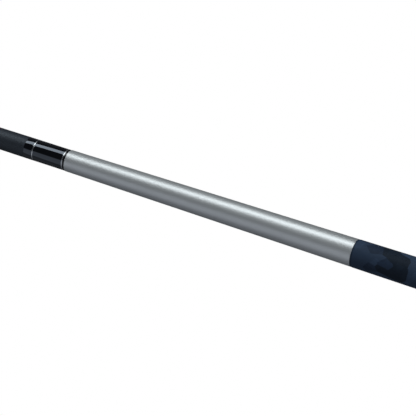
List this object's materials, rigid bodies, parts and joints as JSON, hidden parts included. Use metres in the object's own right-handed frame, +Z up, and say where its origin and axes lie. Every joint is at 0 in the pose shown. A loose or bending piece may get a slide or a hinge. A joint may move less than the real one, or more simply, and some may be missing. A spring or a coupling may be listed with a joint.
{
  "type": "shuffleboard cue",
  "caption": "Take-apart deck shuffleboard cue: forked head with glides, tapered matte shaft, black joint collars, satin metal sleeve, navy patterned grip and rubber bumper.",
  "frame": {"origin": "centre of the bounding box's bottom, on the ground under the middle of the cue", "axes": "+X along the shaft towards the butt, +Z up, +Y to the cue's left when seen from the butt"},
  "size_m": [1.448, 0.1506, 0.0318],
  "materials": {
    "shaft_carbon": "matte dark blue-grey carbon tube",
    "collar_black": "polished black",
    "bright_ring": "polished",
    "sleeve_silver": "satin, turned",
    "grip_navy": "satin navy with angular flat patches",
    "ring_black": "satin black",
    "butt_black": "polished black",
    "core_maple": "turned maple",
    "core_foam": "rigid foam",
    "joint_brass": "machined",
    "pin_steel": "machined",
    "head_aluminium": "satin, tumbled",
    "glide_nylon": "moulded nylon",
    "bumper_rubber": "moulded"
  },
  "bodies": {
    "rear_half": {"rear_collar": "collar_black", "collar_ring": "bright_ring", "collar_spacer": "ring_black", "pin_anchor": "joint_brass", "joint_pin": "pin_steel", "forearm_sleeve": "sleeve_silver", "butt_core": "core_maple", "grip_front_ring": "ring_black", "grip_sleeve": "grip_navy", "grip_rear_ring": "bright_ring", "butt_sleeve": "butt_black", "butt_ring": "bright_ring", "butt_cap": "butt_black", "weight_bolt": "pin_steel", "bumper": "bumper_rubber", "bumper_screw": "pin_steel"},
    "joint_ring": {"joint_ring": "bright_ring"},
    "front_half": {"fork_head": "head_aluminium", "glide_left": "glide_nylon", "glide_right": "glide_nylon", "glide_screw_left": "pin_steel", "glide_screw_right": "pin_steel", "head_tenon": "head_aluminium", "head_pin": "pin_steel", "head_ferrule": "collar_black", "head_ring": "bright_ring", "front_shaft": "shaft_carbon", "shaft_core": "core_foam", "front_collar": "collar_black", "joint_insert": "joint_brass"}
  },
  "joints": [
    {"name": "joint_draw", "type": "slide", "parent": "rear_half", "child": "joint_ring", "axis": [-1, 0, 0], "range_m": [0, 0.03]},
    {"name": "joint_unscrew", "type": "hinge", "parent": "joint_ring", "child": "front_half", "pos_m": [-0.0122, 0, 0.0159], "axis": [-1, 0, 0], "range_deg": [0, 2160]}
  ],
  "couplings": [
    {"joint": "joint_draw", "follows": "joint_unscrew", "m_per_rad": 0.00079577}
  ]
}
